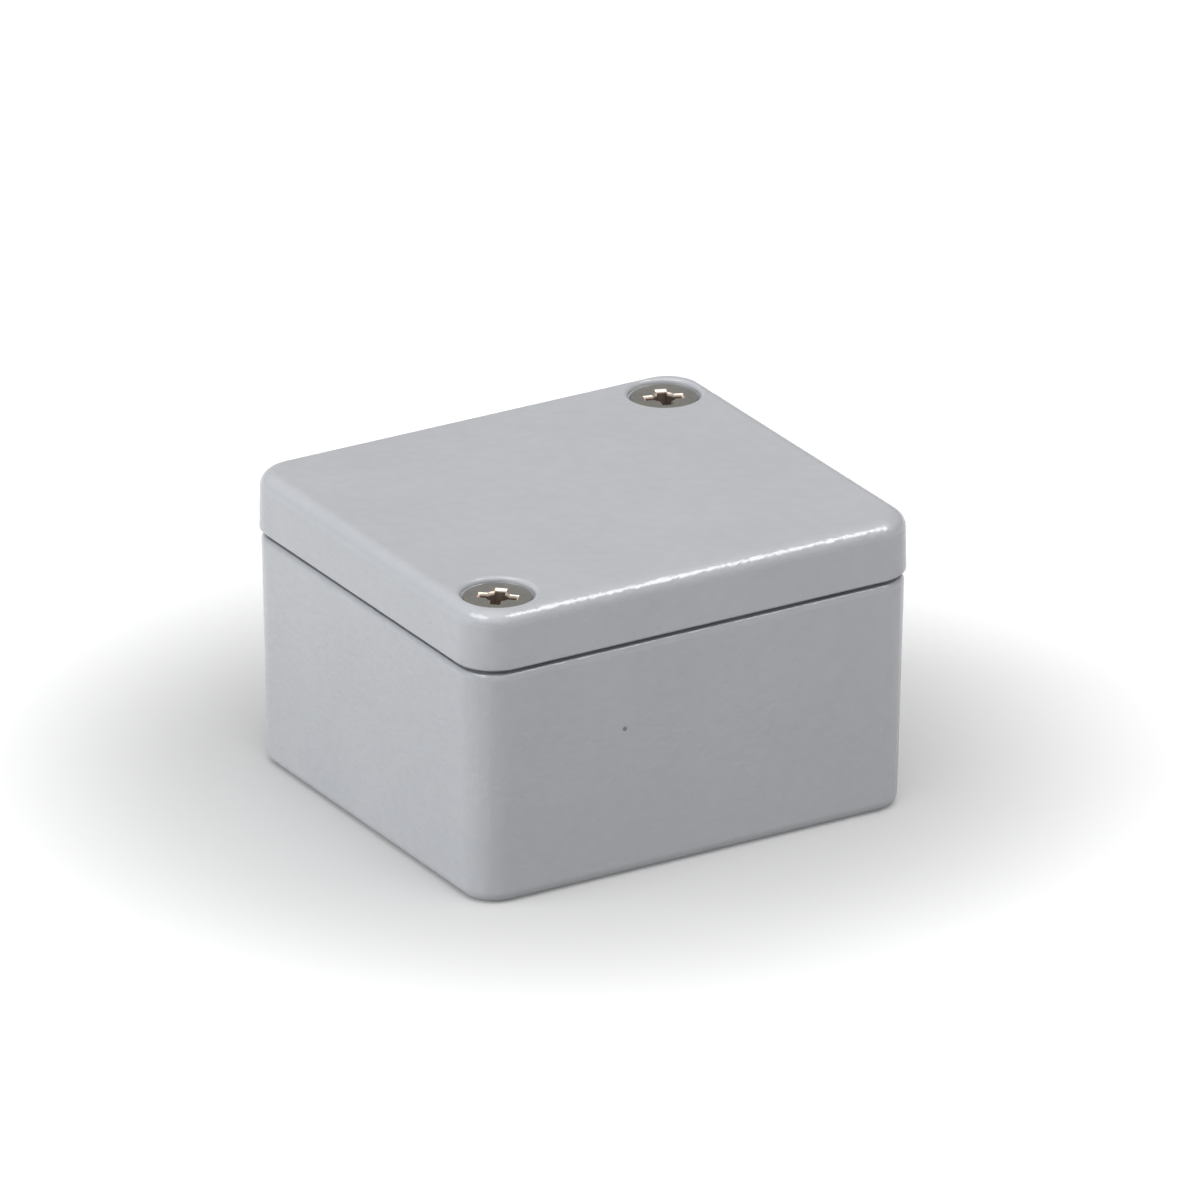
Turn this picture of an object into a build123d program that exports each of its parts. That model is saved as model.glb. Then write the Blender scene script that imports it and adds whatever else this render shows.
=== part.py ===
from build123d import *
import os
from math import atan2, degrees, sqrt

# A small die-cast aluminium box: a base and a lid that meet on a seal,
# held by two countersunk screws in opposite corners. The other two corners
# have channels down to the holes that fix the box to a wall or a panel.
# Millimetres. The origin is on the underside, at the middle. X is the long side.

# Outside, over the lid's lower edge, where the box is widest
length = 50.0
width = 45.0
base_height = 24.1        # underside to the rim of the base
seal_gap = 0.5            # open line between the rim and the lid
lid_height = 6.0          # lower edge to top of the lid
overhang = 0.2            # lid past the base on every side
corner_radius = 4.2       # the lid's upright corners

# Walls of the castings
wall = 2.8                # base, at the rim
floor = 3.0
lid_roof = 3.0
base_draft = 1.2          # degrees, narrower towards the underside
lid_draft = 0.9           # degrees, narrower towards the top

# Rounded and broken edges
lid_top_round = 1.6
foot_round = 1.2
lid_lower_chamfer = 0.2
rim_chamfer = 0.3

# Corner posts, whose round backs stand into the cavity
screw_inset = 5.25        # post centres from the two nearest outside edges
post_radius = 5.75
post_blend = 1.5          # radius where a post's back meets the wall
pad_clearance = 0.1       # pad edge to the seal groove

# Seal: a tongue on the rim presses a gasket in a groove of the lid
tongue_setback = 0.5      # cavity wall to tongue
tongue_width = 1.0
tongue_height = 1.0
groove_clearance = 0.25   # each side of the tongue
groove_depth = 1.5
gasket_clearance = 0.1    # each side of the gasket in the groove
groove_rib = 1.15         # rib between the groove and the lid's hollow

# Lid screws: M4, countersunk, thread only at the far end
screw_length = 18.0
thread_radius = 2.0
thread_length = 6.0
neck_radius = 1.45
head_radius = 3.2
head_edge = 0.3           # upright edge of the head
head_recess = 0.45        # head below the lid's top
tip_chamfer = 0.4
front_screw_turn = 48.5   # degrees, how each cross came to rest
back_screw_turn = 70.0

# Cross recess in the screw head
cross_span = 4.1
cross_slot = 0.85
cross_depth = 1.7
cross_taper = 8.0         # degrees

# Holes for the lid screws
hole_clearance = 0.45     # thread to lid hole
head_clearance = 0.4      # head to the recess round it
cone_clearance = 0.07     # head cone to its seat, measured sideways
bore_clearance = 0.05     # thread to the tapped bore
bore_spare = 1.15         # bore past the screw's tip
well_radius = 3.0         # wide upper part of the bore
thread_engagement = 5.25  # screw tip to the well's step

# Retaining washers, which keep the screws with the lid
washer_radius = 2.75
washer_thickness = 0.8
washer_bore_clearance = 0.05
washer_end_clearance = 0.05

# Fixing holes under the lid
channel_radius = 3.5
fixing_radius = 2.25      # for M4

# Cast bosses for a circuit board
boss_spacing = 30.0
boss_radius = 3.0
boss_height = 3.0
boss_hole_radius = 1.25   # for M3 thread-forming screws
boss_hole_depth = 4.5

# Places that follow from the sizes above
rim_length = length - 2 * overhang
rim_width = width - 2 * overhang
cavity_x = rim_length / 2 - wall
cavity_y = rim_width / 2 - wall
post_x = length / 2 - screw_inset
post_y = width / 2 - screw_inset
lid_z = base_height + seal_gap
top_z = lid_z + lid_height
groove_inner = tongue_setback - groove_clearance
groove_outer = tongue_setback + tongue_width + groove_clearance
pad_radius = post_radius - groove_outer - pad_clearance
head_z = top_z - head_recess
cone_z = head_z - head_edge
neck_z = cone_z - (head_radius - thread_radius)
tip_z = head_z - screw_length
thread_z = tip_z + thread_length
bore_radius = thread_radius + bore_clearance
bore_z = tip_z - bore_spare
well_z = tip_z + thread_engagement
lid_hole_radius = thread_radius + hole_clearance
sink_radius = head_radius + head_clearance
sink_z = cone_z + head_clearance - cone_clearance
screw_places = {
    "front_left": (-post_x, -post_y, front_screw_turn),
    "back_right": (post_x, post_y, back_screw_turn),
}
fixing_places = [(post_x, -post_y), (-post_x, post_y)]


def seal_outline(grow):
    """The cavity's outline, moved outwards by grow and parallel to itself."""
    reach = post_radius + post_blend
    side_x = cavity_x - post_blend
    side_y = post_y - sqrt(reach**2 - (side_x - post_x) ** 2)
    end_y = cavity_y - post_blend
    end_x = post_x - sqrt(reach**2 - (end_y - post_y) ** 2)
    side_angle = degrees(atan2(post_y - side_y, post_x - side_x))
    end_angle = degrees(atan2(post_y - end_y, post_x - end_x))
    back_angle = end_angle - side_angle
    with BuildSketch() as outline:
        with BuildLine():
            Line((cavity_x + grow, 0), (cavity_x + grow, side_y))
            CenterArc((side_x, side_y), post_blend + grow, 0, side_angle)
            CenterArc((post_x, post_y), post_radius - grow, side_angle + 180, back_angle)
            CenterArc((end_x, end_y), post_blend + grow, end_angle, 90 - end_angle)
            Line((end_x, cavity_y + grow), (0, cavity_y + grow))
            mirror(about=Plane.YZ)
            mirror(about=Plane.XZ)
        make_face()
    return outline.sketch


def upright_plane(x, y):
    """A plane through the axis at x, y, for a profile that is turned about it."""
    return Plane(origin=(x, y, 0), x_dir=(1, 0, 0), z_dir=(0, -1, 0))


os.makedirs("parts", exist_ok=True)

# Base
with BuildPart() as base:
    with BuildSketch(Plane.XY.offset(base_height)):
        RectangleRounded(rim_length, rim_width, corner_radius - overhang)
    extrude(amount=-base_height, taper=base_draft)
    fillet(base.faces().sort_by(Axis.Z)[0].edges(), foot_round)
    chamfer(base.faces().sort_by(Axis.Z)[-1].edges(), rim_chamfer)

    with BuildSketch(Plane.XY.offset(base_height)):
        add(seal_outline(0))
    extrude(amount=-(base_height - floor), mode=Mode.SUBTRACT)

    with BuildSketch(Plane.XY.offset(base_height)):
        add(seal_outline(tongue_setback + tongue_width))
        add(seal_outline(tongue_setback), mode=Mode.SUBTRACT)
    extrude(amount=tongue_height)

    with BuildSketch(Plane.XY.offset(base_height)):
        with GridLocations(2 * post_x, 2 * post_y, 2, 2):
            Circle(pad_radius)
    extrude(amount=seal_gap)

    with BuildSketch(Plane.XY.offset(floor)):
        with GridLocations(boss_spacing, 0, 2, 1):
            Circle(boss_radius)
    extrude(amount=boss_height)

    with Locations(*[(x, y, lid_z) for x, y, turn in screw_places.values()]):
        CounterBoreHole(bore_radius, well_radius, lid_z - well_z, lid_z - bore_z)
    with Locations(*[(x, y, lid_z) for x, y in fixing_places]):
        CounterBoreHole(fixing_radius, channel_radius, lid_z - floor, lid_z + floor)
    with Locations((0, 0, floor + boss_height)):
        with GridLocations(boss_spacing, 0, 2, 1):
            Hole(boss_hole_radius, boss_hole_depth)
base.part.label = "base"
export_step(base.part, "parts/base.step")

# Lid
with BuildPart() as lid:
    with BuildSketch(Plane.XY.offset(lid_z)):
        RectangleRounded(length, width, corner_radius)
    extrude(amount=lid_height, taper=lid_draft)
    fillet(lid.faces().sort_by(Axis.Z)[-1].edges(), lid_top_round)
    chamfer(lid.faces().sort_by(Axis.Z)[0].edges(), lid_lower_chamfer)

    with BuildSketch(Plane.XY.offset(lid_z)):
        add(seal_outline(groove_outer))
        add(seal_outline(groove_inner), mode=Mode.SUBTRACT)
    extrude(amount=groove_depth, mode=Mode.SUBTRACT)

    with BuildSketch(Plane.XY.offset(lid_z)):
        add(seal_outline(groove_inner - groove_rib))
    extrude(amount=lid_height - lid_roof, mode=Mode.SUBTRACT)

    for x, y, turn in screw_places.values():
        with BuildSketch(upright_plane(x, y)):
            with BuildLine():
                Polyline(
                    (0, lid_z),
                    (lid_hole_radius, lid_z),
                    (lid_hole_radius, sink_z - (sink_radius - lid_hole_radius)),
                    (sink_radius, sink_z),
                    (sink_radius, top_z),
                    (0, top_z),
                    close=True,
                )
            make_face()
        revolve(axis=Axis((x, y, 0), (0, 0, 1)), mode=Mode.SUBTRACT)
lid.part.label = "lid"
export_step(lid.part, "parts/lid.step")

# Gasket, drawn as it lies when the lid is screwed down
with BuildPart() as lid_gasket:
    with BuildSketch(Plane.XY.offset(base_height + tongue_height)):
        add(seal_outline(groove_outer - gasket_clearance))
        add(seal_outline(groove_inner + gasket_clearance), mode=Mode.SUBTRACT)
    extrude(amount=seal_gap + groove_depth - tongue_height)
lid_gasket.part.label = "lid_gasket"
export_step(lid_gasket.part, "parts/lid_gasket.step")

for place, (x, y, turn) in screw_places.items():
    # Lid screw, with its cross recess turned as it came to rest
    with BuildPart() as lid_screw:
        with BuildSketch(upright_plane(x, y)):
            with BuildLine():
                Polyline(
                    (0, tip_z),
                    (thread_radius - tip_chamfer, tip_z),
                    (thread_radius, tip_z + tip_chamfer),
                    (thread_radius, thread_z),
                    (neck_radius, thread_z),
                    (neck_radius, neck_z),
                    (thread_radius, neck_z),
                    (head_radius, cone_z),
                    (head_radius, head_z),
                    (0, head_z),
                    close=True,
                )
            make_face()
        revolve(axis=Axis((x, y, 0), (0, 0, 1)))
        with BuildSketch(Plane((x, y, head_z))):
            Rectangle(cross_span, cross_slot, rotation=turn)
            Rectangle(cross_slot, cross_span, rotation=turn)
        extrude(amount=-cross_depth, taper=cross_taper, mode=Mode.SUBTRACT)
    lid_screw.part.label = f"lid_screw_{place}"
    export_step(lid_screw.part, f"parts/lid_screw_{place}.step")

    # Retaining washer, on the neck just above the thread
    with BuildPart() as washer:
        with BuildSketch(Plane((x, y, thread_z + washer_end_clearance))):
            Circle(washer_radius)
            Circle(neck_radius + washer_bore_clearance, mode=Mode.SUBTRACT)
        extrude(amount=washer_thickness)
    washer.part.label = f"retaining_washer_{place}"
    export_step(washer.part, f"parts/retaining_washer_{place}.step")
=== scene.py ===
from math import cos, radians, sin

import bmesh
import bpy
from mathutils import Matrix, Vector


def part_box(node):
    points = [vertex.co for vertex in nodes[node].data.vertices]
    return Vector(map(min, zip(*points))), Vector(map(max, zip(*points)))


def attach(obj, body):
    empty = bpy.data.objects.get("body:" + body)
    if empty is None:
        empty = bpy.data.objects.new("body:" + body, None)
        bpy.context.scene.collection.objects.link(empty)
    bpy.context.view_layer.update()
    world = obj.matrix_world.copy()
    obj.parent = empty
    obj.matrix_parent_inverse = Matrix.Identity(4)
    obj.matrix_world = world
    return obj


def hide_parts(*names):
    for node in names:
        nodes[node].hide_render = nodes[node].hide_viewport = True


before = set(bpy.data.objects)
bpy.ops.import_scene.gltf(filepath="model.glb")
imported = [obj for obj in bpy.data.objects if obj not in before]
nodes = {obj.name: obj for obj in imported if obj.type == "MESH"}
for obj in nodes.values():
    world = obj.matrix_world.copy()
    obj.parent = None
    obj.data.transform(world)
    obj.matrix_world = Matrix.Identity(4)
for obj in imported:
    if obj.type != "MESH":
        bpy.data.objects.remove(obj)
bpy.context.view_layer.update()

# A small die-cast box with a light grey powder coat, its lid on a rubber seal,
# and two countersunk screws that came to rest at different angles. Metres, +Z up.

mm = 0.001
places = ("front_left", "back_right")
print("frame loaded,", len(nodes), "nodes")


# Node maths
class Value:
    # a number that changes over a surface
    def __init__(self, nodeTree, socket):
        self.nodeTree = nodeTree
        self.socket = socket

    def join(self, operation, first, second):
        return self.nodeTree.node("ShaderNodeMath", {"operation": operation}, {0: first, 1: second})

    def __add__(self, other):
        return self.join("ADD", self, other)

    def __radd__(self, other):
        return self.join("ADD", other, self)

    def __sub__(self, other):
        return self.join("SUBTRACT", self, other)

    def __rsub__(self, other):
        return self.join("SUBTRACT", other, self)

    def __mul__(self, other):
        return self.join("MULTIPLY", self, other)

    def __rmul__(self, other):
        return self.join("MULTIPLY", other, self)

    def __pow__(self, other):
        return self.join("POWER", self, other)


class NodeTree:
    def __init__(self, tree):
        self.tree = tree

    def feed(self, socket, value):
        if isinstance(value, Value):
            self.tree.links.new(value.socket, socket)
        else:
            socket.default_value = value

    def node(self, kind, settings=None, sockets=None, output=0):
        made = self.tree.nodes.new(kind)
        for name, value in (settings or {}).items():
            setattr(made, name, value)
        for name, value in (sockets or {}).items():
            if isinstance(name, str):
                name = [s.enabled and s.name == name for s in made.inputs].index(True)
            self.feed(made.inputs[name], value)
        shown = [s for s in made.outputs if s.enabled]
        return Value(self, shown[output])

    def place(self):
        # the Object output, so a pattern stays on its piece
        return self.node("ShaderNodeTexCoord", output=3)

    def noise(self, size, detail=2.0, roughness=0.5):
        sockets = {"Vector": self.place(), "Scale": 1 / size}
        sockets.update({"Detail": detail, "Roughness": roughness})
        return self.node("ShaderNodeTexNoise", {}, sockets)

    def fromTo(self, value, low, high, newLow=0.0, newHigh=1.0):
        sockets = {"Value": value, "From Min": low, "From Max": high}
        sockets.update({"To Min": newLow, "To Max": newHigh})
        return self.node("ShaderNodeMapRange", {"clamp": True}, sockets)

    def blend(self, factor, first, second):
        settings = {"data_type": "RGBA"}
        sockets = {"Factor": factor, "A": (*first, 1) if isinstance(first, tuple) else first}
        sockets["B"] = (*second, 1) if isinstance(second, tuple) else second
        return self.node("ShaderNodeMix", settings, sockets)

    def bump(self, height, distance):
        sockets = {"Height": height, "Distance": distance, "Strength": 1.0}
        return self.node("ShaderNodeBump", {}, sockets)


class Finish(NodeTree):
    def __init__(self, name, constants):
        self.material = bpy.data.materials.new(name)
        self.material.use_nodes = True
        super().__init__(self.material.node_tree)
        self.shader = self.tree.nodes["Principled BSDF"]
        self.set(constants)

    def set(self, sockets):
        for name, value in sockets.items():
            if isinstance(value, tuple) and name.endswith("Color"):
                value = (*value, 1)
            self.feed(self.shader.inputs[name], value)

    def paint(self, piece):
        piece.data.materials.clear()
        piece.data.materials.append(self.material)


# Modelling helpers
def onlyActive(piece):
    bpy.ops.object.select_all(action="DESELECT")
    piece.select_set(True)
    bpy.context.view_layer.objects.active = piece


def named(name):
    piece = bpy.context.object
    piece.name = name
    piece.data.name = name
    return piece


def editing(piece):
    onlyActive(piece)
    bpy.ops.object.mode_set(mode="EDIT")


def doneEditing():
    bpy.ops.object.mode_set(mode="OBJECT")


def pick(piece, kind, test):
    # in edit mode, selects the vertices, edges or faces that pass the test
    bpy.ops.mesh.select_mode(type={"verts": "VERT", "edges": "EDGE", "faces": "FACE"}[kind])
    bpy.ops.mesh.select_all(action="DESELECT")
    mesh = bmesh.from_edit_mesh(piece.data)
    for part in getattr(mesh, kind):
        if test(part):
            part.select_set(True)
    mesh.select_flush_mode()
    bmesh.update_edit_mesh(piece.data)


def modify(piece, kind, **settings):
    onlyActive(piece)
    modifier = piece.modifiers.new(kind, kind)
    for name, value in settings.items():
        setattr(modifier, name, value)
    bpy.ops.object.modifier_apply(modifier=modifier.name)


def cut(piece, cutter, operation="DIFFERENCE"):
    modify(piece, "BOOLEAN", operation=operation, solver="EXACT", object=cutter)
    bpy.data.objects.remove(cutter)


def setDown(piece):
    # the object's place goes into its mesh
    onlyActive(piece)
    bpy.ops.object.transform_apply(location=True, rotation=True, scale=True)


def tidyMesh(piece, mergeDistance):
    editing(piece)
    bpy.ops.mesh.select_all(action="SELECT")
    bpy.ops.mesh.remove_doubles(threshold=mergeDistance)
    bpy.ops.mesh.normals_make_consistent(inside=False)
    doneEditing()


def smooth(piece, angle):
    onlyActive(piece)
    bpy.ops.object.shade_smooth_by_angle(angle=radians(angle))


def turned(name, rings, sides, centre):
    # a turned shape, from its top ring down: each ring is (radius, height)
    x, y = centre
    radius, height = rings[0]
    bpy.ops.object.select_all(action="DESELECT")
    bpy.ops.mesh.primitive_circle_add(
        vertices=sides, radius=radius, fill_type="NGON", location=(x, y, height)
    )
    piece = named(name)
    editing(piece)
    bpy.ops.mesh.select_mode(type="FACE")
    bpy.ops.mesh.select_all(action="SELECT")
    for nextRadius, nextHeight in rings[1:]:
        bpy.ops.mesh.extrude_region_move(
            TRANSFORM_OT_translate={"value": (0, 0, nextHeight - height)}
        )
        ratio = nextRadius / radius
        bpy.ops.transform.resize(value=(ratio, ratio, 1), center_override=(x, y, nextHeight))
        radius, height = nextRadius, nextHeight
    bpy.ops.mesh.select_all(action="SELECT")
    bpy.ops.mesh.normals_make_consistent(inside=False)
    doneEditing()
    setDown(piece)
    return piece


# Powder coat: a semi-gloss light grey skin over the casting, with orange peel
powderCoat = {
    "grey": (0.405, 0.413, 0.434),
    "greyLow": (0.384, 0.393, 0.414),
    "cloudSize": 9 * mm,
    "cloudRange": (0.35, 0.65),
    "cloudShare": 0.6,        # of the two greys' mix
    "peelRange": (0.3, 0.7),
    "peelShare": 0.4,
    "gloss": 0.19,
    "grainSize": 0.35 * mm,
    "grainDull": 0.08,
    "peelSize": 1.3 * mm,
    "peelHeight": 0.05 * mm,
    "peelLift": 0.5,
    "rippleSize": 0.5 * mm,
    "rippleLift": 0.65,
    "rippleOverall": 0.12,    # all that the top face has
    # ripple of the sides and edges, by height in mm: start, full, full, end, strength
    "rippled": (
        (0.5, 1.5, 23.3, 23.6, 0.8),
        (23.3, 23.6, 24.4, 24.5, 1.0),
        (24.4, 24.6, 29.2, 29.6, 0.8),
        (29.2, 29.6, 30.48, 30.58, 1.0),
    ),
    "speckPlace": (-8.42 * mm, -22.12 * mm, 15.54 * mm),
    "speckSize": 0.24 * mm,
    "speckEdge": (0.6, 1.3),  # in speck sizes
    "speckDip": 0.6,
    "speckColour": (0.16, 0.16, 0.17),
}


def makePowderCoat(look):
    finish = Finish("powderCoat", {"Specular IOR Level": 0.5})
    peel = finish.noise(look["peelSize"], detail=0.0)
    ripple = finish.noise(look["rippleSize"], detail=0.0)
    grain = finish.noise(look["grainSize"], detail=2.0)
    cloud = finish.fromTo(finish.noise(look["cloudSize"], detail=3.0), *look["cloudRange"])
    mottle = finish.fromTo(peel, *look["peelRange"])
    mix = cloud * look["cloudShare"] + mottle * look["peelShare"]
    grey = finish.blend(mix, look["greyLow"], look["grey"])
    distance = finish.node(
        "ShaderNodeVectorMath",
        {"operation": "DISTANCE"},
        {0: finish.place(), 1: look["speckPlace"]},
    )
    near, far = (look["speckSize"] * edge for edge in look["speckEdge"])
    speck = finish.fromTo(distance, near, far, 1.0, 0.0)
    colour = finish.blend(speck, grey, look["speckColour"])
    roughness = look["gloss"] + look["grainDull"] * grain
    level = finish.node("ShaderNodeSeparateXYZ", {}, {0: finish.place()}, output=2)
    rippled = look["rippleOverall"]
    for start, low, high, end, amount in look["rippled"]:
        rise = finish.fromTo(level, start * mm, low * mm)
        fall = finish.fromTo(level, end * mm, high * mm)
        rippled = rippled + amount * (rise * fall)
    height = look["peelLift"] * peel + look["rippleLift"] * rippled * ripple
    height = height - speck * look["speckDip"]
    finish.set({
        "Base Color": colour,
        "Roughness": roughness,
        "Normal": finish.bump(height, look["peelHeight"]),
    })
    return finish


# Rubber of the seal: matt black with a faint bloom
sealRubber = {
    "black": (0.016, 0.016, 0.017),
    "bloom": (0.035, 0.035, 0.037),
    "patchSize": 2.5 * mm,
    "patchRange": (0.4, 0.7),
    "dullness": 0.68,
    "patchDull": 0.15,
    "grainSize": 0.12 * mm,
    "grainHeight": 0.01 * mm,
}


def makeSealRubber(look):
    finish = Finish("sealRubber", {"Specular IOR Level": 0.35})
    patches = finish.fromTo(finish.noise(look["patchSize"], detail=4.0), *look["patchRange"])
    grain = finish.noise(look["grainSize"], detail=3.0)
    finish.set({
        "Base Color": finish.blend(patches, look["black"], look["bloom"]),
        "Roughness": look["dullness"] + look["patchDull"] * patches,
        "Normal": finish.bump(grain, look["grainHeight"]),
    })
    return finish


# Nylon of the retaining washers
nylon = {
    "ivory": (0.78, 0.76, 0.69),
    "deep": (0.7, 0.67, 0.58),
    "cloudSize": 1.6 * mm,
    "glow": 0.15,
    "glowDepth": 0.4 * mm,
    "dullness": 0.42,
    "grainDull": 0.12,
    "grainSize": 0.1 * mm,
    "grainHeight": 0.004 * mm,
}


def makeNylon(look):
    finish = Finish("washerNylon", {
        "Specular IOR Level": 0.5,
        "Subsurface Weight": look["glow"],
        "Subsurface Scale": look["glowDepth"],
    })
    cloud = finish.noise(look["cloudSize"], detail=3.0)
    grain = finish.noise(look["grainSize"], detail=2.0)
    finish.set({
        "Base Color": finish.blend(cloud, look["ivory"], look["deep"]),
        "Roughness": look["dullness"] + look["grainDull"] * grain,
        "Normal": finish.bump(grain, look["grainHeight"]),
    })
    return finish


# Steel of the screws: dull stainless, turned marks on the head, worn metal with a painted warm
# glint on the recess's upper walls, and painted shade, dark brown, deeper in the recess
screwSteel = {
    "steel": (0.4, 0.385, 0.35),
    "dull": (0.31, 0.298, 0.27),
    # worn metal with a painted warm glint: lighter, warmer steel on the recess's upper walls
    "bareAndGlint": (0.72, 0.62, 0.52),
    # painted shade: dark brown, not metal and dull, deeper in the cross recess
    "recessShade": (0.045, 0.026, 0.014),
    "blotchSize": 0.9 * mm,
    "blotchRange": (0.35, 0.7),
    "ringPitch": 0.11 * mm,
    "ringHeight": 0.0022 * mm,
    "blotchHeight": 1.6,      # in ring heights
    "polish": 0.32,
    "blotchDull": 0.12,
    "recessShadeDull": 0.5,
    # heights below the head's top, and distances from the axis, each from none to full
    "recessDepth": (-0.03 * mm, -0.12 * mm),
    "recessShadeDepth": (-0.16 * mm, -0.4 * mm),
    "recessReach": (2.4 * mm, 2.2 * mm),
}


def makeScrewSteel(look, centre, headHeight):
    x, y = centre
    finish = Finish("screwSteel_" + str(round(x / mm)), {"Specular IOR Level": 0.5})
    fromAxis = finish.node(
        "ShaderNodeVectorMath",
        {"operation": "SUBTRACT"},
        {0: finish.place(), 1: (x, y, headHeight)},
    )
    level = finish.node(
        "ShaderNodeVectorMath",
        {"operation": "MULTIPLY"},
        {0: fromAxis, 1: (1, 1, 0)},
    )
    radius = finish.node("ShaderNodeVectorMath", {"operation": "LENGTH"}, {0: level})
    depth = finish.node("ShaderNodeSeparateXYZ", {}, {0: fromAxis}, output=2)
    spots = finish.noise(look["blotchSize"], detail=4.0, roughness=0.6)
    blotch = finish.fromTo(spots, *look["blotchRange"])
    ringPhase = radius * (6.283 / look["ringPitch"])  # one full turn a ring, in radians
    rings = finish.node("ShaderNodeMath", {"operation": "SINE"}, {0: ringPhase})
    # the recess narrows with depth, so the neck and thread stay clear of it
    reach = radius - 0.5 * depth
    inCross = finish.fromTo(reach, *look["recessReach"])
    recess = finish.fromTo(depth, *look["recessDepth"]) * inCross
    # painted shade deeper in the recess: dark brown, not metal and dull
    shadedDeep = recess * finish.fromTo(depth, *look["recessShadeDepth"])
    steel = finish.blend(blotch, look["steel"], look["dull"])
    # worn metal and a painted warm glint on the recess's upper walls
    wornAndGlinting = finish.blend(recess, steel, look["bareAndGlint"])
    finish.set({
        "Base Color": finish.blend(shadedDeep, wornAndGlinting, look["recessShade"]),
        "Metallic": 1 - shadedDeep,
        "Roughness": look["polish"] + look["blotchDull"] * blotch + look["recessShadeDull"] * shadedDeep,
        "Normal": finish.bump(rings + look["blotchHeight"] * blotch, look["ringHeight"]),
    })
    return finish


powderFinish = makePowderCoat(powderCoat)
sealFinish = makeSealRubber(sealRubber)
nylonFinish = makeNylon(nylon)
print("finishes made")


# Castings: the lid and the base, with their sharp edges softened by the coat
casting = {
    "mergeDistance": 0.002 * mm,
    "flatAngle": 0.4,         # degrees, flatter edges are dissolved
    "sharpAngle": 32,         # degrees, sharper edges are rounded
    "edgeRound": 0.16 * mm,
    "sinkRadius": 3.62 * mm,
    "sinkRoll": 0.42 * mm,
    "sinkWall": 0.18 * mm,
    "sinkSides": 96,
    "flareOut": 0.5 * mm,     # the cutter widens above the lid
    "flareUp": 0.088 * mm,
    "holeRadius": 2.47 * mm,
    "holeSpare": 1 * mm,      # cutter below the lid
    "rimHeight": 24.1 * mm,
    "rimChamfer": 0.3 * mm,
    "rimRound": 0.36 * mm,
}


def screwCentre(place):
    low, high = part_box("lid_screw_" + place)
    return ((low.x + high.x) / 2, (low.y + high.y) / 2)


def cutSink(piece, centre, sizes):
    # countersunk hole with a rolled upper edge, where the coat pools
    low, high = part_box("lid")
    roll = sizes["sinkRoll"]
    radius = sizes["sinkRadius"]
    rim = []
    for angle in (80, 60, 40, 20, 0):
        out = radius + roll - roll * cos(radians(angle))
        rim.append((out, high.z - roll + roll * sin(radians(angle))))
    flare = (rim[0][0] + sizes["flareOut"], rim[0][1] + sizes["flareUp"])
    wall = (radius, rim[-1][1] - sizes["sinkWall"])
    seat = (sizes["holeRadius"], wall[1] - (radius - sizes["holeRadius"]))
    end = (sizes["holeRadius"], low.z - sizes["holeSpare"])
    rings = [flare, *rim, wall, seat, end]
    cut(piece, turned("sinkCutter", rings, sizes["sinkSides"], centre))


def roundRim(piece, sizes):
    # the outer edge of the base's rim, below its chamfer
    low = sizes["rimHeight"] - sizes["rimChamfer"]
    near = 0.02 * mm
    editing(piece)
    pick(piece, "edges", lambda edge: all(abs(vert.co.z - low) < near for vert in edge.verts))
    bpy.ops.mesh.bevel(offset=sizes["rimRound"], segments=5, affect="EDGES")
    doneEditing()


def breakEdges(piece, sizes, centres):
    # the sharp edges, apart from those of the screw holes
    clearance = sizes["sinkRadius"] * 1.2

    def isSharp(edge):
        middle = (edge.verts[0].co.xy + edge.verts[1].co.xy) / 2
        clear = all((middle - Vector(centre)).length > clearance for centre in centres)
        sharp = radians(sizes["sharpAngle"])
        return clear and edge.is_manifold and edge.calc_face_angle() > sharp

    editing(piece)
    pick(piece, "edges", isSharp)
    bpy.ops.mesh.bevel(offset=sizes["edgeRound"], segments=3, affect="EDGES", clamp_overlap=True)
    doneEditing()


def makeCasting(name, node, body, sizes):
    source = nodes[node]
    bpy.ops.object.select_all(action="DESELECT")
    piece = bpy.data.objects.new(name, source.data.copy())
    bpy.context.collection.objects.link(piece)
    editing(piece)
    bpy.ops.mesh.select_all(action="SELECT")
    bpy.ops.mesh.customdata_custom_splitnormals_clear()
    bpy.ops.mesh.remove_doubles(threshold=sizes["mergeDistance"])
    bpy.ops.mesh.dissolve_limited(angle_limit=radians(sizes["flatAngle"]))
    doneEditing()
    centres = [screwCentre(place) for place in places] if node == "lid" else []
    if node == "base":
        roundRim(piece, sizes)
    breakEdges(piece, sizes, centres)
    for centre in centres:
        cutSink(piece, centre, sizes)
    tidyMesh(piece, sizes["mergeDistance"])
    smooth(piece, sizes["sharpAngle"])
    modify(piece, "WEIGHTED_NORMAL", weight=60, keep_sharp=True)
    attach(piece, body)
    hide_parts(node)
    powderFinish.paint(piece)
    print(name, "made,", len(piece.data.polygons), "faces")


makeCasting("baseCasting", "base", "base", casting)
makeCasting("lidCasting", "lid", "lid", casting)


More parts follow.
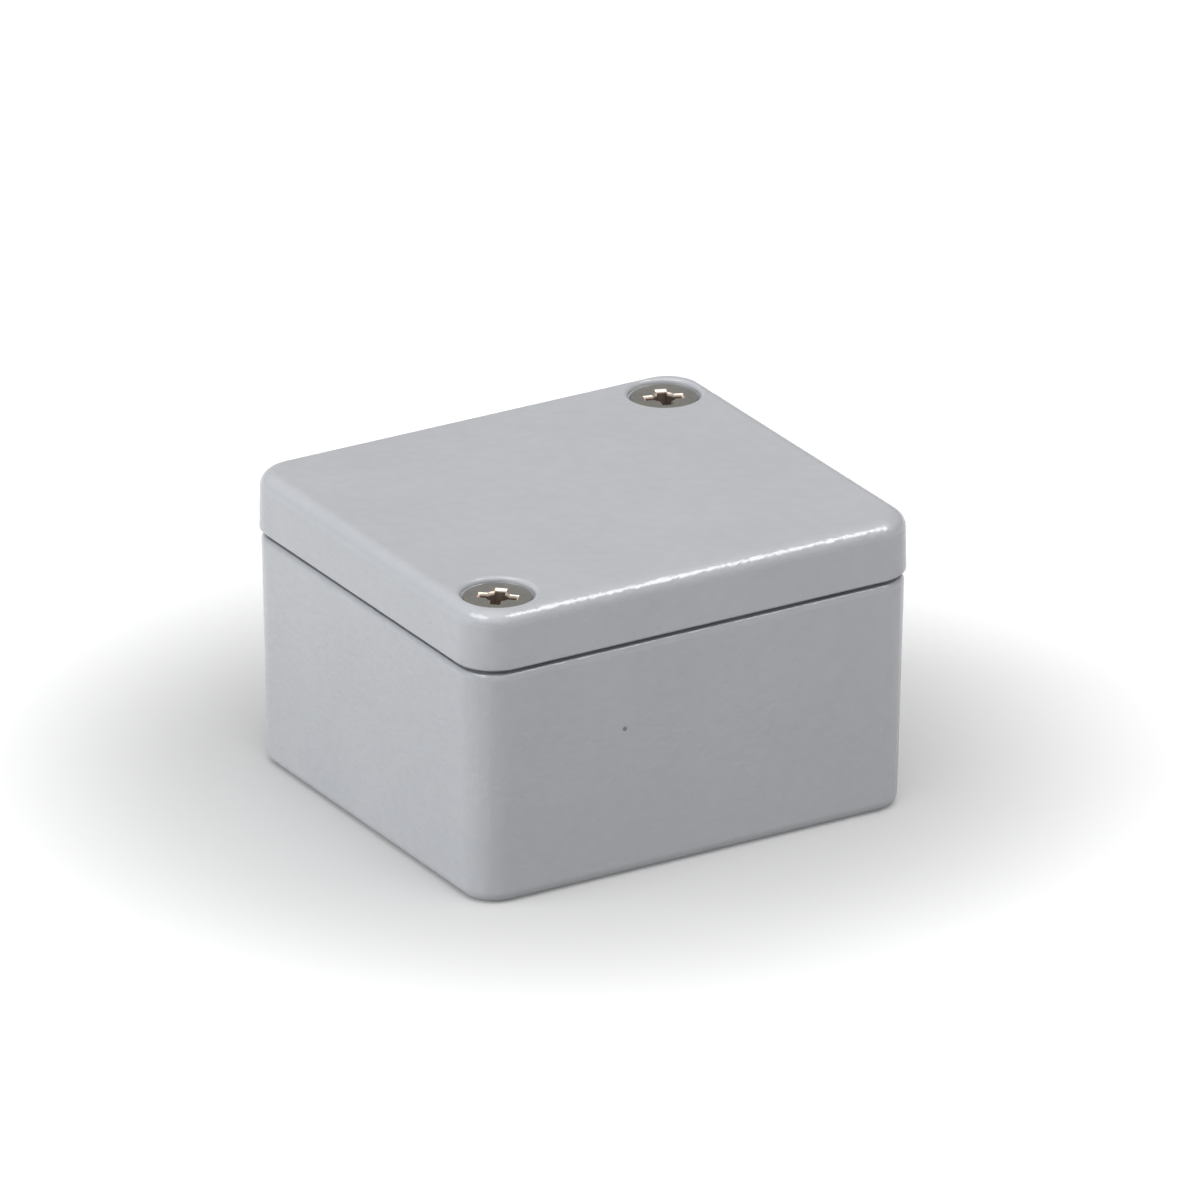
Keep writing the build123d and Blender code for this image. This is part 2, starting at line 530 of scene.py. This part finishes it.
# Lid screws: countersunk head with a cross recess, waisted neck, M4 thread at the far end
screw = {
    "mergeDistance": 0.002 * mm,
    "smoothAngle": 30,        # degrees
    "headRadius": 3.34 * mm,
    "headEdge": 0.15 * mm,
    "headRound": 0.12 * mm,
    "headSides": 96,
    "neckRadius": 1.45 * mm,
    "neckFlare": 1.12,        # times the neck, just below the head's cone
    "flareLength": 0.12 * mm,
    "flareEnd": 0.4 * mm,
    "coreRadius": 1.5 * mm,   # shank inside the thread
    "coreStart": 0.2 * mm,
    "coreEnd": 0.5 * mm,
    "threadRadius": 2.0 * mm,
    "threadRoot": 1.6 * mm,
    "threadLength": 6.0 * mm,
    "threadPitch": 0.7 * mm,
    "threadSteps": 32,        # in one turn
    "flankHalf": 0.2,         # half heights of the flanks and the crest, in pitches
    "crestHalf": 0.07,
    "turns": {"front_left": 48.5, "back_right": 70.0},
    "crossSpan": 4.1 * mm,
    "crossSlot": 1.15 * mm,
    "crossDepth": 1.9 * mm,
    "crossRound": 0.16 * mm,
    "crossReach": 2.4 * mm,   # all edges of the cross lie within it
    "crossSpare": 0.5 * mm,   # cutter above the head and past the bottom
    "wingTop": (1.12, 1.06, 1),
    "wingBottom": (0.42, 0.62, 1),
    "crossCore": 1.2 * mm,    # round middle of the cross
    "coreTop": 1.12,
    "coreBottom": 0.72,
    "coreTip": 0.12 * mm,
    "coreSides": 24,
}


def crossCutter(sizes, centre, top, turn):
    x, y = centre
    depth = sizes["crossDepth"]
    spare = sizes["crossSpare"]
    wings = []
    for quarter in (0, 90):
        bpy.ops.object.select_all(action="DESELECT")
        bpy.ops.mesh.primitive_cube_add(size=1, location=(x, y, top - depth / 2))
        wing = named("wing" + str(quarter))
        wing.scale = (sizes["crossSpan"], sizes["crossSlot"], depth)
        wing.rotation_euler.z = radians(turn + quarter)
        onlyActive(wing)
        bpy.ops.object.transform_apply(location=False, rotation=False, scale=True)
        editing(wing)
        pick(wing, "faces", lambda face: face.normal.z < -0.9)
        bpy.ops.transform.resize(value=sizes["wingBottom"], orient_type="LOCAL")
        pick(wing, "faces", lambda face: face.normal.z > 0.9)
        bpy.ops.transform.translate(value=(0, 0, spare))
        bpy.ops.transform.resize(value=sizes["wingTop"], orient_type="LOCAL")
        doneEditing()
        setDown(wing)
        wings.append(wing)
    radius = sizes["crossCore"]
    rings = [
        (radius * sizes["coreTop"], top + spare),
        (radius, top),
        (radius * sizes["coreBottom"], top - depth),
        (sizes["coreTip"], top - depth - spare),
    ]
    core = turned("core", rings, sizes["coreSides"], centre)
    for wing in wings:
        cut(core, wing, "UNION")
    return core


def threadPiece(sizes, centre, low):
    # the thread's outline from root to crest, turned upwards and cut to length
    x, y = centre
    pitch = sizes["threadPitch"]
    turns = round(sizes["threadLength"] / pitch) + 2
    bpy.ops.object.select_all(action="DESELECT")
    bpy.ops.mesh.primitive_plane_add(size=pitch, rotation=(radians(90), 0, 0), location=(0, 0, 0))
    piece = named("thread")
    setDown(piece)
    editing(piece)
    pick(piece, "verts", lambda vert: vert.co.x < 0)
    bpy.ops.mesh.delete(type="VERT")
    bpy.ops.mesh.select_all(action="SELECT")
    bpy.ops.mesh.subdivide(number_cuts=7)
    halfFlank = (sizes["threadRadius"] - sizes["threadRoot"]) / 2
    pick(piece, "verts", lambda vert: True)
    bpy.ops.transform.translate(value=(sizes["threadRoot"] - pitch / 2, 0, 0))
    for share in (sizes["flankHalf"], sizes["crestHalf"]):
        pick(piece, "verts", lambda vert: abs(vert.co.z) < pitch * share)
        bpy.ops.transform.translate(value=(halfFlank, 0, 0))
    doneEditing()
    modify(
        piece,
        "SCREW",
        axis="Z",
        angle=radians(360),
        screw_offset=pitch,
        iterations=turns,
        steps=sizes["threadSteps"],
        render_steps=sizes["threadSteps"],
        use_merge_vertices=True,
        merge_threshold=0.001 * mm,
    )
    # a small shift keeps the end planes between the rows of vertices
    piece.location = (x, y, low - pitch - pitch / 64)
    setDown(piece)
    tidyMesh(piece, sizes["mergeDistance"])
    for height, below in ((low, True), (low + sizes["threadLength"], False)):
        editing(piece)
        bpy.ops.mesh.select_all(action="SELECT")
        bpy.ops.mesh.bisect(
            plane_co=(x, y, height),
            plane_no=(0, 0, 1),
            use_fill=True,
            clear_inner=below,
            clear_outer=not below,
            threshold=0.0001 * mm,
        )
        doneEditing()
    tidyMesh(piece, sizes["mergeDistance"])
    return piece


def makeScrew(place, sizes):
    node = "lid_screw_" + place
    low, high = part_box(node)
    centre = screwCentre(place)
    near = 0.01 * mm
    neck = sizes["neckRadius"]
    edgeZ = high.z - sizes["headEdge"]
    neckZ = edgeZ - (sizes["headRadius"] - sizes["threadRadius"])
    threadTop = low.z + sizes["threadLength"]
    rings = [
        (sizes["headRadius"], high.z),
        (sizes["headRadius"], edgeZ),
        (sizes["threadRadius"], neckZ),
        (neck * sizes["neckFlare"], neckZ - sizes["flareLength"]),
        (neck, neckZ - sizes["flareEnd"]),
        (neck, threadTop),
        (sizes["coreRadius"], threadTop - sizes["coreStart"]),
        (sizes["coreRadius"], low.z + sizes["coreEnd"]),
    ]

    def onTop(edge):
        return all(vert.co.z > high.z - near for vert in edge.verts)

    def onCross(edge):
        ends = edge.verts
        level = all(abs(vert.co.z - high.z) < near for vert in ends)
        reach = sizes["crossReach"]
        return level and all((vert.co.xy - Vector(centre)).length < reach for vert in ends)

    piece = turned("screw_" + place, rings, sizes["headSides"], centre)
    editing(piece)
    pick(piece, "edges", onTop)
    bpy.ops.mesh.bevel(offset=sizes["headRound"], segments=4, affect="EDGES")
    doneEditing()
    cut(piece, crossCutter(sizes, centre, high.z, sizes["turns"][place]))
    editing(piece)
    pick(piece, "edges", onCross)
    bpy.ops.mesh.bevel(offset=sizes["crossRound"], segments=3, affect="EDGES", clamp_overlap=True)
    doneEditing()
    tidyMesh(piece, sizes["mergeDistance"])
    thread = threadPiece(sizes, centre, low.z)
    onlyActive(piece)
    thread.select_set(True)
    bpy.ops.object.join()
    smooth(piece, sizes["smoothAngle"])
    makeScrewSteel(screwSteel, centre, high.z).paint(piece)
    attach(piece, "screw_" + place)
    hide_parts(node)
    print(piece.name, "made,", len(piece.data.polygons), "faces")


for place in places:
    makeScrew(place, screw)
    nylonFinish.paint(nodes["retaining_washer_" + place])
sealFinish.paint(nodes["lid_gasket"])
powderFinish.paint(nodes["base"])
powderFinish.paint(nodes["lid"])


# Floor with a painted shadow, a grey patch round the box, and a soft dome that is brightest
# overhead
studio = {
    "floorSize": 6.0,
    "floorDrop": 0.05 * mm,
    "floorWhite": (0.92, 0.92, 0.92),
    # painted shadow: the floor is grey near the box and white from further out
    "floorShadowGrey": (0.585, 0.585, 0.585),
    "shadowCentre": (-0.0013, 0.0035, 0),
    "shadowStretch": (0.96, 0.97, 1),
    "shadowOut": 0.0318,
    "whiteFrom": 0.0702,
    "skyLow": 0.24,
    "skyTilt": 0.26,
    "skyHigh": 3.08,
    "skyBelow": 0.39,
    "lobeFrom": (0, -0.42, 0.91),
    "lobePower": 4,
    "brightFrom": (-0.3, 0.9, 0.1),
}


def makeFloor(look):
    bpy.ops.object.select_all(action="DESELECT")
    bpy.ops.mesh.primitive_plane_add(size=look["floorSize"], location=(0, 0, -look["floorDrop"]))
    floor = named("floor")
    setDown(floor)
    finish = Finish("floorPaperPaintedShadow", {"Specular IOR Level": 0.0, "Roughness": 1.0})
    fromCentre = finish.node(
        "ShaderNodeVectorMath",
        {"operation": "SUBTRACT"},
        {0: finish.place(), 1: look["shadowCentre"]},
    )
    stretched = finish.node(
        "ShaderNodeVectorMath",
        {"operation": "MULTIPLY"},
        {0: fromCentre, 1: look["shadowStretch"]},
    )
    fromBox = finish.node("ShaderNodeVectorMath", {"operation": "LENGTH"}, {0: stretched})
    reach = finish.node(
        "ShaderNodeMapRange",
        {"interpolation_type": "SMOOTHSTEP"},
        {"Value": fromBox, "From Min": look["shadowOut"], "From Max": look["whiteFrom"]},
    )
    # painted shadow: the floor's colour greys towards the box
    finish.set({"Base Color": finish.blend(reach, look["floorShadowGrey"], look["floorWhite"])})
    finish.paint(floor)
    # the box's sides are lit from below by the dome, not by the paper
    floor.visible_diffuse = False


def makeSky(look):
    world = bpy.data.worlds.new("softDome")
    bpy.context.scene.world = world
    world.use_nodes = True
    sky = NodeTree(world.node_tree)
    background = world.node_tree.nodes["Background"]
    outward = sky.node("ShaderNodeTexCoord", output=0)

    def facing(direction):
        unit = tuple(Vector(direction).normalized())
        settings = {"operation": "DOT_PRODUCT"}
        return sky.node("ShaderNodeVectorMath", settings, {0: outward, 1: unit})

    towards = facing(look["brightFrom"])
    height = facing((0, 0, 1))
    overhead = sky.fromTo(facing(look["lobeFrom"]), 0.0, 1.0) ** look["lobePower"]
    below = sky.fromTo(height, 0.0, -0.1)
    strength = look["skyLow"] + look["skyTilt"] * towards + look["skyHigh"] * overhead
    strength = strength + look["skyBelow"] * below
    sky.feed(background.inputs["Strength"], strength)
    background.inputs["Color"].default_value = (1, 1, 1, 1)


# Soft cards: where each stands, its distance, size, power and colour
cards = {
    "sideCard": ((-0.92, 0.35, 0.22), 2.0, (1.2, 0.6), 23.0, (0.96, 0.98, 1)),
    "frontCard": ((0.15, -0.95, 0.25), 2.5, (2.5, 0.8), 3.0, (0.97, 0.98, 1)),
    "edgeStrip": ((0.44, -0.42, 0.79), 2.0, (0.75, 0.55), 17, (1, 1, 1)),
    "cornerCard": ((-0.6, -0.03, 0.8), 2.0, (1.4, 0.8), 26, (0.88, 0.93, 1)),
}


def makeSoftbox(name, towards, distance, size, power, colour):
    light = bpy.data.lights.new(name, "AREA")
    light.shape = "RECTANGLE"
    light.size, light.size_y = size
    light.energy = power
    light.color = colour
    lamp = bpy.data.objects.new(name, light)
    bpy.context.collection.objects.link(lamp)
    aim = Vector(towards).normalized()
    side = Vector((0, 0, 1)).cross(aim).normalized()
    turn = Matrix((side, aim.cross(side), aim)).transposed().to_4x4()
    lamp.matrix_world = Matrix.Translation(aim * distance) @ turn
    return lamp


makeFloor(studio)
makeSky(studio)
lamps = {name: makeSoftbox(name, *card) for name, card in cards.items()}
lamps["sideCard"].visible_glossy = False  # lights the box, but isn't mirrored in it
for name in ("edgeStrip", "cornerCard"):
    lamps[name].visible_diffuse = False  # glints only


# Camera: a long lens from the front left, as far back as the photograph was taken
photo = {
    "side": 1200,
    "focal": 17540.0,
    "distance": 1.7079,
    "aimHeight": 0.015,
    "slideRight": 0.001773,
    "slideUp": 0.003733,
    "right": (0.85736448, -0.51470691, 0.001717),
    "up": (0.20108143, 0.33801509, 0.91940854),
    "back": (-0.47380629, -0.78792297, 0.39330014),
    "sensor": 36.0,
    "clip": (0.05, 50),
}


def makeCamera(view):
    data = bpy.data.cameras.new("camera")
    data.sensor_width = view["sensor"]
    data.lens = view["focal"] * view["sensor"] / view["side"]
    data.clip_start, data.clip_end = view["clip"]
    right, up, back = (Vector(view[name]) for name in ("right", "up", "back"))
    spot = Vector((0, 0, view["aimHeight"])) + back * view["distance"]
    spot += right * view["slideRight"] + up * view["slideUp"]
    camera = bpy.data.objects.new("camera", data)
    bpy.context.collection.objects.link(camera)
    turn = Matrix((right, up, back)).transposed().to_4x4()
    camera.matrix_world = Matrix.Translation(spot) @ turn
    bpy.context.scene.camera = camera


makeCamera(photo)
bpy.context.scene.view_settings.view_transform = "Standard"
print("stage, lights and camera set")
